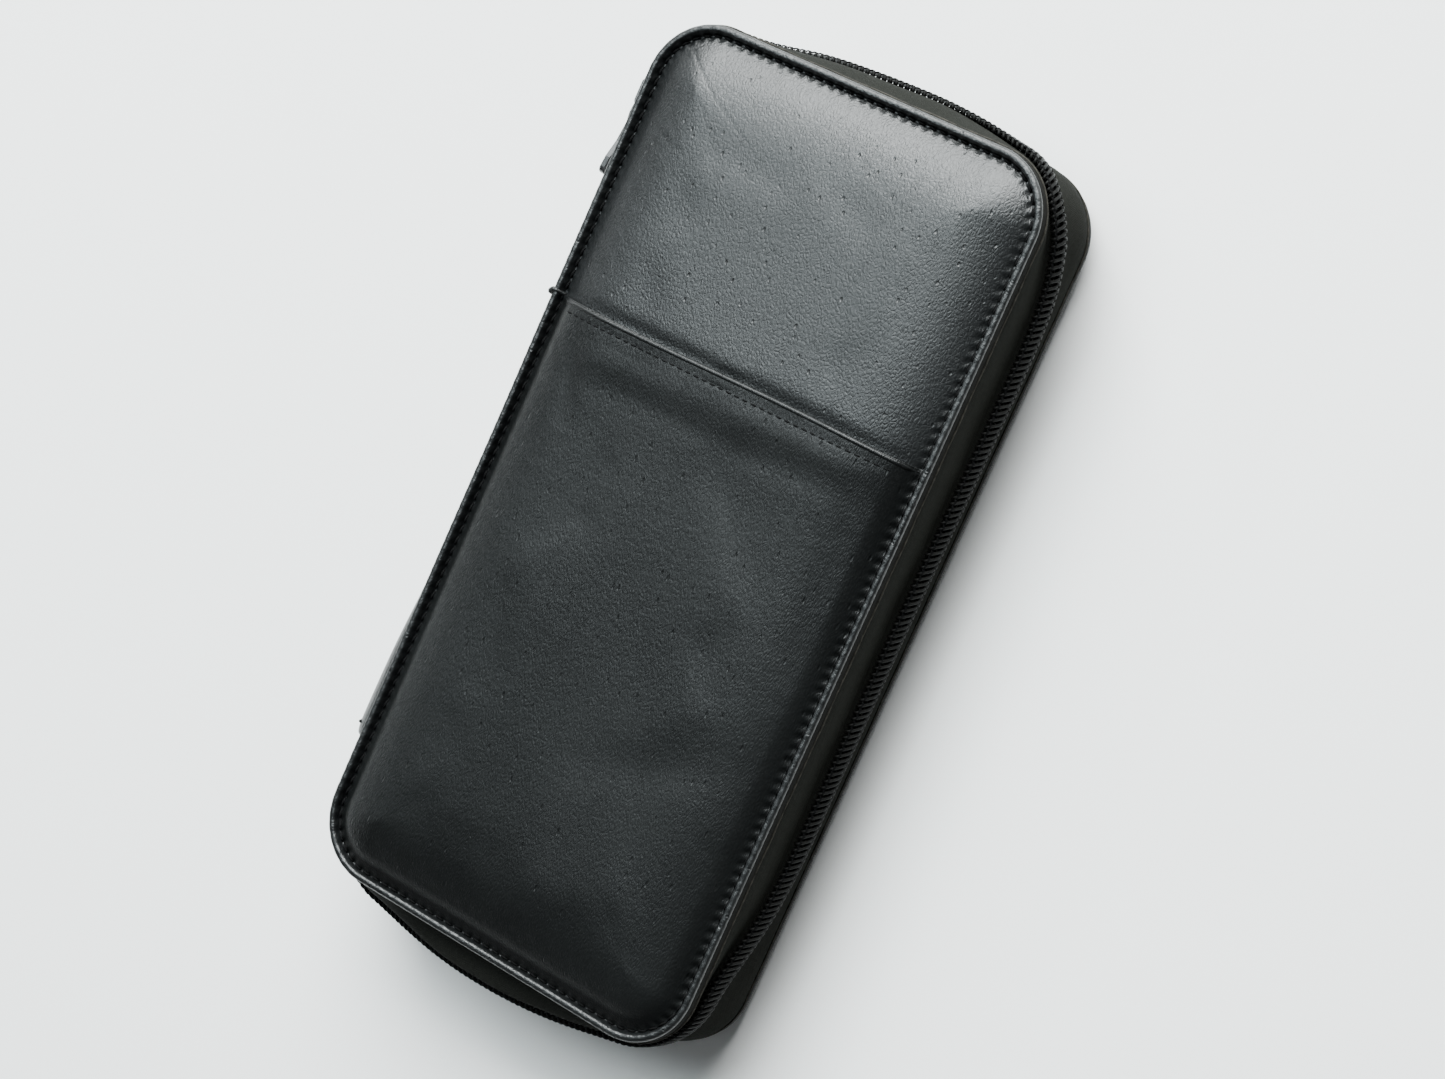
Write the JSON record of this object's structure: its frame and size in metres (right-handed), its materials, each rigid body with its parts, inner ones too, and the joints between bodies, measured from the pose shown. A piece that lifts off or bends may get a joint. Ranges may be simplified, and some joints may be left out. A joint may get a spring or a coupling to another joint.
{
  "type": "multi glasses organizer",
  "caption": "Slim zip-around leather case that opens like a book, with padded covers, an outside slip pocket and soft inner sleeves for folded glasses.",
  "frame": {"origin": "middle of the back cover's resting face", "axes": "+Z through the thickness towards the front cover, +Y along the length towards the zip slider's end, -X towards the spine"},
  "size_m": [0.1119, 0.2098, 0.0377],
  "materials": {
    "cover_leather": "smooth black leather, soft gloss",
    "pocket_leather": "black leather, fine grain, soft gloss",
    "thread": "black twisted thread",
    "zip_tape": "black woven tape",
    "zip_coil": "black nylon coil",
    "slider_metal": "black enamelled metal",
    "board": "grey-brown fibreboard",
    "foam": "soft padding",
    "lining": "black brushed cloth"
  },
  "bodies": {
    "back_half": {"back_cover_leather": "cover_leather", "back_board": "board", "back_padding": "foam", "back_lining": "lining", "back_edge_stitching": "thread", "back_zip_tape": "zip_tape", "back_zip_coil": "zip_coil", "back_sleeve_left": "lining", "back_sleeve_right": "lining"},
    "spine": {"spine_leather": "cover_leather", "spine_board": "board", "spine_lining": "lining", "spine_stitching": "thread", "zip_tape_ends": "zip_tape", "zip_coil_ends": "zip_coil", "zip_end_stops": "slider_metal"},
    "front_half": {"front_cover_leather": "cover_leather", "front_board": "board", "front_padding": "foam", "front_lining": "lining", "front_edge_stitching": "thread", "slip_pocket": "pocket_leather", "slip_pocket_stitching": "thread", "front_zip_tape": "zip_tape", "front_zip_coil": "zip_coil", "front_sleeve_left": "lining", "front_sleeve_right": "lining"},
    "zip_slider": {"slider_body": "slider_metal", "slider_bridge": "slider_metal"},
    "pull_tab": {"pull_tab": "slider_metal"}
  },
  "joints": [
    {"name": "spine_fold", "type": "hinge", "parent": "back_half", "child": "spine", "pos_m": [-0.05, 0, 0.0068], "axis": [0, -1, 0], "range_deg": [0, 90]},
    {"name": "cover_fold", "type": "hinge", "parent": "spine", "child": "front_half", "pos_m": [-0.05, 0, 0.0292], "axis": [0, -1, 0], "range_deg": [0, 90]},
    {"name": "slider_travel", "type": "slide", "parent": "spine", "child": "zip_slider", "axis": [0, 1, 0], "range_m": [0, 0.004]},
    {"name": "tab_swing", "type": "hinge", "parent": "zip_slider", "child": "pull_tab", "pos_m": [-0.0559, 0.0812, 0.018], "axis": [0, 0, -1], "range_deg": [-9, 177]}
  ]
}
